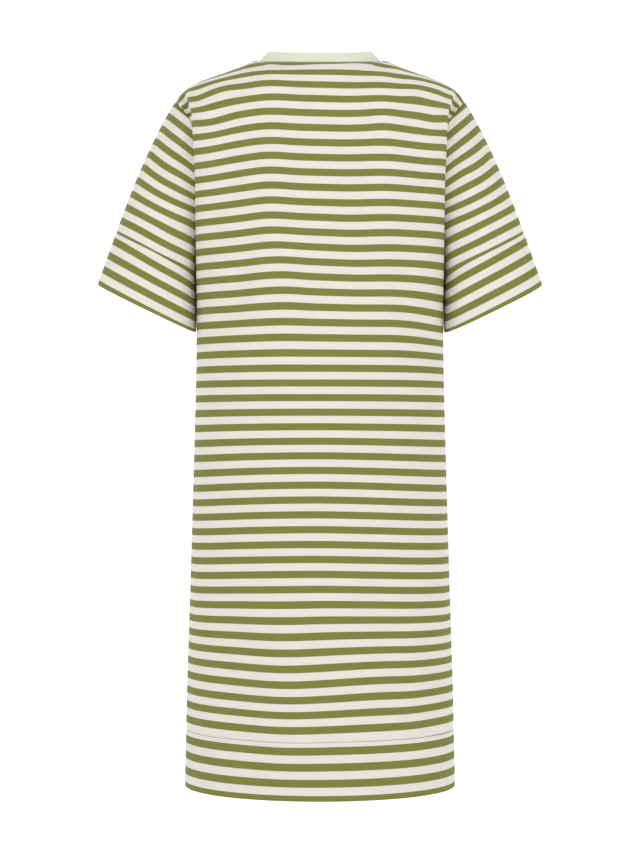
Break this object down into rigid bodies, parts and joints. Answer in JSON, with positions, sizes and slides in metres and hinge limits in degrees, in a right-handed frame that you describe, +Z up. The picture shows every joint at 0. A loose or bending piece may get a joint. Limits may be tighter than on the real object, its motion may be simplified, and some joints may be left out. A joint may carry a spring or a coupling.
{
  "type": "striped jersey t-shirt dress",
  "caption": "Knee-length T-shirt dress in striped jersey, filled out as if worn, with short banded sleeves, a banded hem and a plain round neckband.",
  "frame": {"origin": "middle of the neck opening, level with the top of the shoulders beside the neck, where a wearer holds the dress up", "axes": "+Z up, +Y to the wearer's front, +X to the wearer's right"},
  "size_m": [0.6264, 0.2723, 1.0347],
  "materials": {
    "striped_jersey": "matt cotton jersey in even green and cream stripes, given here as their mean colour",
    "neck_rib": "matt cream rib knit"
  },
  "bodies": {
    "root": {"back_panel": "striped_jersey", "front_panel": "striped_jersey", "hem_band_back": "striped_jersey", "hem_band_front": "striped_jersey", "neckband": "neck_rib", "sleeve_left": "striped_jersey", "sleeve_right": "striped_jersey", "sleeve_band_left": "striped_jersey", "sleeve_band_right": "striped_jersey"}
  },
  "joints": []
}
